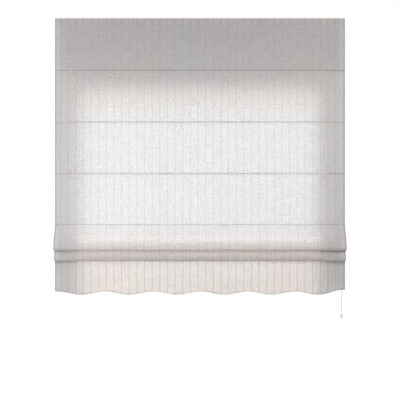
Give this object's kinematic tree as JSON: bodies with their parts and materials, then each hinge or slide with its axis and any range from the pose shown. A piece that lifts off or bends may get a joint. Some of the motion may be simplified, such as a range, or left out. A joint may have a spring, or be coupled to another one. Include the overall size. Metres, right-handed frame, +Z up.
{
  "type": "roman blind",
  "caption": "Linen roman blind with a wavy hem on a headrail with wall brackets, partly drawn up by lift cords, a cord lock and a pull cord with a bell.",
  "frame": {"origin": "middle wall screw hole, on the wall plane", "axes": "+X along the headrail to the right as seen from the room, +Y into the wall, +Z up"},
  "size_m": [1.3, 0.0719, 1.345],
  "materials": {
    "linen": "woven, slubbed, with fine tan stripes",
    "lining": "plain woven tape",
    "hook_and_loop": "fleecy tape",
    "rail": "satin",
    "zinc_steel": "zinc plated",
    "glass_fibre": "pultruded rod",
    "white_plastic": "moulded",
    "grey_plastic": "moulded",
    "brass": "knurled",
    "bell_plastic": "moulded",
    "cord": "braided"
  },
  "bodies": {
    "head": {"headrail": "rail", "end_cap_left": "white_plastic", "end_cap_right": "white_plastic", "hook_tape": "hook_and_loop", "loop_tape": "hook_and_loop", "bracket_left": "zinc_steel", "bracket_middle": "zinc_steel", "bracket_right": "zinc_steel", "bracket_bolts": "zinc_steel", "bracket_nuts": "zinc_steel", "cord_guide_1": "white_plastic", "cord_guide_2": "white_plastic", "cord_guide_3": "white_plastic", "cord_guide_4": "white_plastic", "lock_housing": "white_plastic", "lock_axle": "zinc_steel", "lift_cord_1": "cord", "lift_cord_2": "cord", "lift_cord_3": "cord", "lift_cord_4": "cord", "panel_1": "linen"},
    "pleat_1": {"pocket_1": "lining", "rod_1": "glass_fibre", "rings_1": "white_plastic", "panel_2": "linen"},
    "pleat_2": {"pocket_2": "lining", "rod_2": "glass_fibre", "rings_2": "white_plastic", "panel_3": "linen"},
    "pleat_3": {"pocket_3": "lining", "rod_3": "glass_fibre", "rings_3": "white_plastic", "panel_4": "linen"},
    "pleat_4": {"pocket_4": "lining", "rod_4": "glass_fibre", "rings_4": "white_plastic", "fold_1": "linen"},
    "pleat_5": {"pocket_5": "lining", "rod_5": "glass_fibre", "rings_5": "white_plastic", "fold_2": "linen"},
    "edge_1": {"return_1": "linen"},
    "edge_2": {"return_2": "linen"},
    "edge_3": {"return_3": "linen"},
    "edge_4": {"return_4": "linen"},
    "edge_5": {"return_5": "linen"},
    "edge_6": {"return_6": "linen"},
    "bottom": {"bottom_pocket": "lining", "bottom_bar": "glass_fibre", "bottom_rings": "white_plastic", "cord_orbs": "white_plastic", "valance": "linen"},
    "pull": {"cord_connector": "white_plastic", "pull_cord": "cord", "pull_bell": "bell_plastic", "pull_knot": "cord"},
    "pulley": {"lock_pulley": "grey_plastic"},
    "roller": {"lock_roller": "brass"}
  },
  "joints": [
    {"name": "fold_out_1", "type": "slide", "parent": "head", "child": "edge_1", "axis": [0, -1, 0], "range_m": [0, 0.016], "deforming": ["panel_1"]},
    {"name": "lift", "type": "slide", "parent": "edge_1", "child": "pleat_1", "axis": [0, 0.0857, 0.9963], "range_m": [0, 0.18669], "deforming": ["return_1", "lift_cord_1", "lift_cord_2", "lift_cord_3", "lift_cord_4"]},
    {"name": "fold_out_2", "type": "slide", "parent": "pleat_1", "child": "edge_2", "axis": [0, -1, 0], "range_m": [0, 0.022], "deforming": ["panel_2"]},
    {"name": "gather_2", "type": "slide", "parent": "edge_2", "child": "pleat_2", "axis": [0, 0.1175, 0.9931], "range_m": [0, 0.1873], "deforming": ["return_2"]},
    {"name": "fold_out_3", "type": "slide", "parent": "pleat_2", "child": "edge_3", "axis": [0, -1, 0], "range_m": [0, 0.031], "deforming": ["panel_3"]},
    {"name": "gather_3", "type": "slide", "parent": "edge_3", "child": "pleat_3", "axis": [0, 0.1644, 0.9864], "range_m": [0, 0.18857], "deforming": ["return_3"]},
    {"name": "fold_out_4", "type": "slide", "parent": "pleat_3", "child": "edge_4", "axis": [0, -1, 0], "range_m": [0, 0.044], "deforming": ["panel_4"]},
    {"name": "gather_4", "type": "slide", "parent": "edge_4", "child": "pleat_4", "axis": [0, 0.2302, 0.9731], "range_m": [0, 0.19113], "deforming": ["return_4"]},
    {"name": "pull", "type": "slide", "parent": "head", "child": "pull", "axis": [0, 0, 1], "range_m": [-0.744, 0]},
    {"name": "pulley_spin", "type": "hinge", "parent": "head", "child": "pulley", "pos_m": [0.6329, -0.0155, 0.0174], "axis": [0, 1, 0], "continuous": true},
    {"name": "flatten_5", "type": "slide", "parent": "pleat_4", "child": "edge_5", "axis": [0, 0.908, -0.4189], "range_m": [0, 0.03193], "deforming": ["fold_1"]},
    {"name": "lower", "type": "slide", "parent": "edge_5", "child": "pleat_5", "axis": [0, 0.3356, 0.942], "range_m": [-0.08638, 0], "deforming": ["return_5"]},
    {"name": "flatten_6", "type": "slide", "parent": "pleat_5", "child": "edge_6", "axis": [0, 0.8876, -0.4606], "range_m": [0, 0.01273], "deforming": ["fold_2"]},
    {"name": "lower_bottom", "type": "slide", "parent": "edge_6", "child": "bottom", "axis": [0, 0.0912, 0.9958], "range_m": [-0.1239, 0], "deforming": ["return_6"]},
    {"name": "lock_release", "type": "slide", "parent": "head", "child": "roller", "axis": [-0.5, 0, -0.866], "range_m": [0, 0.0035]}
  ],
  "couplings": [
    {"joint": "fold_out_1", "follows": "lift", "ratio": 0.085705},
    {"joint": "fold_out_2", "follows": "lift", "ratio": 0.11784},
    {"joint": "gather_2", "follows": "lift", "ratio": 1.0033},
    {"joint": "fold_out_3", "follows": "lift", "ratio": 0.16605},
    {"joint": "gather_3", "follows": "lift", "ratio": 1.0101},
    {"joint": "fold_out_4", "follows": "lift", "ratio": 0.23569},
    {"joint": "gather_4", "follows": "lift", "ratio": 1.0238},
    {"joint": "pull", "follows": "lift", "ratio": -3.9853},
    {"joint": "flatten_5", "follows": "lower", "ratio": -0.36962},
    {"joint": "flatten_6", "follows": "lower", "ratio": -0.14739},
    {"joint": "lower_bottom", "follows": "lower", "ratio": 1.4344}
  ]
}
